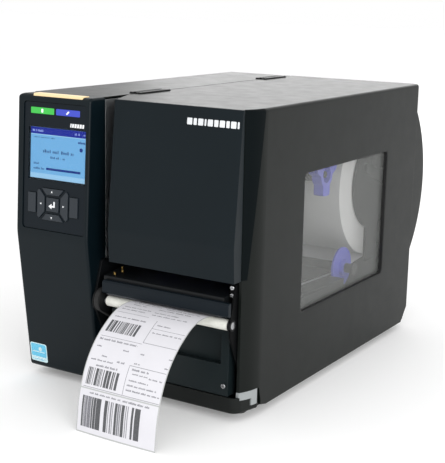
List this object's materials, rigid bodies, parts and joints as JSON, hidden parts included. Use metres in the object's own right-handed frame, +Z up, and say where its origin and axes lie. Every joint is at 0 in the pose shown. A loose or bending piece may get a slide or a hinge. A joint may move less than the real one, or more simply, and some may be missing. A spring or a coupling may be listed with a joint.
{
  "type": "thermal label printer",
  "caption": "Desktop thermal label printer with a control column on the left, a hinged windowed media cover on the right and labels issuing from the front.",
  "frame": {"origin": "on the table, under the middle of the overall box, the issued labels included", "axes": "+Z up, +Y from the front towards the rear panels, +X from the electronics side towards the windowed side"},
  "size_m": [0.298, 0.5959, 0.3378],
  "materials": {
    "charcoal_metal": "fine texture, satin",
    "cover_plastic": "fine texture, satin",
    "frame_aluminium": "cast and chromated",
    "charcoal_plastic": "fine moulded texture",
    "bezel_plastic": "smooth matte",
    "key_plastic": "smooth matte",
    "black_plastic": "moulded",
    "pale_plastic": "moulded",
    "touch_blue": "satin moulded",
    "light_diffuser": "translucent",
    "clear_lens": "clear",
    "display_panel": "lit display",
    "status_lens": "translucent",
    "circuit_board": "solder mask",
    "connector_steel": "plated",
    "zinc_steel": "zinc plated",
    "polished_steel": "ground",
    "mechanism_black": "black coated",
    "motor_black": "black coated",
    "bare_aluminium": "machined",
    "belt_rubber": "matte",
    "seal_rubber": "matte",
    "foot_rubber": "matte",
    "platen_rubber": "fine ground",
    "smoked_window": "smoked clear",
    "label_paper": "coated matte",
    "core_board": "wound board"
  },
  "bodies": {
    "chassis": {"base_tray": "charcoal_metal", "feet": "foot_rubber", "centre_wall": "frame_aluminium", "electronics_cover": "charcoal_metal", "rear_panel": "charcoal_metal", "roll_bay_cover": "cover_plastic", "front_fascia": "charcoal_plastic", "light_bar": "light_diffuser", "control_bezel": "bezel_plastic", "display_lens": "clear_lens", "display_module": "display_panel", "status_lenses": "status_lens", "main_board": "circuit_board", "power_supply": "zinc_steel", "power_inlet": "black_plastic", "io_ports": "connector_steel", "drive_motor": "motor_black", "drive_belt": "belt_rubber", "ribbon_motors": "motor_black", "lower_front_panel": "charcoal_plastic", "left_side_plate": "mechanism_black", "right_side_plate": "mechanism_black", "platen_bearings": "black_plastic", "media_deck": "zinc_steel", "sensor_plate": "black_plastic", "media_hanger": "black_plastic", "web_guide_bar": "polished_steel", "label_web": "label_paper", "label_strip": "label_paper", "cover_rest": "pale_plastic", "screws": "polished_steel", "hinge_fixed_leaves": "mechanism_black"},
    "media_cover": {"cover_shell": "cover_plastic", "cover_front": "charcoal_plastic", "window_pane": "smoked_window", "window_gasket": "seal_rubber", "hinge_moving_leaves": "mechanism_black"},
    "platen": {"platen_shaft": "polished_steel", "platen_roller": "platen_rubber", "platen_pulley": "black_plastic"},
    "motor_rotor": {"motor_pulley": "bare_aluminium"},
    "printhead": {"printhead_carrier": "mechanism_black", "printhead_block": "bare_aluminium", "head_front_bar": "bezel_plastic"},
    "head_latch": {"head_latch_lever": "touch_blue"},
    "ribbon_supply": {"ribbon_supply_spindle": "black_plastic", "ribbon_supply_hub": "touch_blue"},
    "ribbon_take_up": {"ribbon_take_up_spindle": "black_plastic"},
    "label_supply": {"label_roll": "label_paper", "roll_core": "core_board"},
    "roll_guide": {"roll_guide": "black_plastic"},
    "width_guide": {"width_guide": "touch_blue"},
    "power_switch": {"power_switch": "black_plastic"},
    "key_up": {"key_up": "key_plastic"},
    "key_down": {"key_down": "key_plastic"},
    "key_left": {"key_left": "key_plastic"},
    "key_right": {"key_right": "key_plastic"},
    "key_enter": {"key_enter": "key_plastic"},
    "softkey_left": {"softkey_left": "key_plastic"},
    "softkey_right": {"softkey_right": "key_plastic"}
  },
  "joints": [
    {"name": "cover_hinge", "type": "hinge", "parent": "chassis", "child": "media_cover", "pos_m": [-0.045, 0, 0.3354], "axis": [0, -1, 0], "range_deg": [0, 95]},
    {"name": "platen_spin", "type": "hinge", "parent": "chassis", "child": "platen", "pos_m": [0, -0.19, 0.11], "axis": [1, 0, 0], "continuous": true},
    {"name": "motor_spin", "type": "hinge", "parent": "chassis", "child": "motor_rotor", "pos_m": [0, -0.128, 0.064], "axis": [1, 0, 0], "continuous": true},
    {"name": "latch_turn", "type": "hinge", "parent": "chassis", "child": "head_latch", "pos_m": [0, -0.118, 0.178], "axis": [-1, 0, 0], "range_deg": [0, 60]},
    {"name": "head_lift", "type": "hinge", "parent": "chassis", "child": "printhead", "pos_m": [0, -0.105, 0.156], "axis": [-1, 0, 0], "range_deg": [0, 8]},
    {"name": "ribbon_supply_spin", "type": "hinge", "parent": "chassis", "child": "ribbon_supply", "pos_m": [0, 0.046, 0.238], "axis": [1, 0, 0], "continuous": true},
    {"name": "ribbon_take_up_spin", "type": "hinge", "parent": "chassis", "child": "ribbon_take_up", "pos_m": [0, -0.08, 0.246], "axis": [1, 0, 0], "continuous": true},
    {"name": "roll_spin", "type": "hinge", "parent": "chassis", "child": "label_supply", "pos_m": [0, 0.196, 0.209], "axis": [1, 0, 0], "continuous": true},
    {"name": "roll_guide_slide", "type": "slide", "parent": "chassis", "child": "roll_guide", "axis": [1, 0, 0], "range_m": [0, 0.014]},
    {"name": "width_guide_slide", "type": "slide", "parent": "chassis", "child": "width_guide", "axis": [1, 0, 0], "range_m": [0, 0.008]},
    {"name": "switch_rock", "type": "hinge", "parent": "chassis", "child": "power_switch", "pos_m": [0, 0.252, 0.108], "axis": [-1, 0, 0], "range_deg": [0, 16]},
    {"name": "key_up_press", "type": "slide", "parent": "chassis", "child": "key_up", "axis": [0, 0.9987, -0.0506], "range_m": [0, 0.001], "stiffness_N_per_m": 1500},
    {"name": "key_down_press", "type": "slide", "parent": "chassis", "child": "key_down", "axis": [0, 0.9987, -0.0506], "range_m": [0, 0.001], "stiffness_N_per_m": 1500},
    {"name": "key_left_press", "type": "slide", "parent": "chassis", "child": "key_left", "axis": [0, 0.9987, -0.0506], "range_m": [0, 0.001], "stiffness_N_per_m": 1500},
    {"name": "key_right_press", "type": "slide", "parent": "chassis", "child": "key_right", "axis": [0, 0.9987, -0.0506], "range_m": [0, 0.001], "stiffness_N_per_m": 1500},
    {"name": "key_enter_press", "type": "slide", "parent": "chassis", "child": "key_enter", "axis": [0, 0.9987, -0.0506], "range_m": [0, 0.001], "stiffness_N_per_m": 1500},
    {"name": "softkey_left_press", "type": "slide", "parent": "chassis", "child": "softkey_left", "axis": [0, 0.9987, -0.0506], "range_m": [0, 0.001], "stiffness_N_per_m": 1500},
    {"name": "softkey_right_press", "type": "slide", "parent": "chassis", "child": "softkey_right", "axis": [0, 0.9987, -0.0506], "range_m": [0, 0.001], "stiffness_N_per_m": 1500}
  ],
  "couplings": [
    {"joint": "motor_spin", "follows": "platen_spin", "ratio": 2},
    {"joint": "head_lift", "follows": "latch_turn", "ratio": 0.13333}
  ]
}
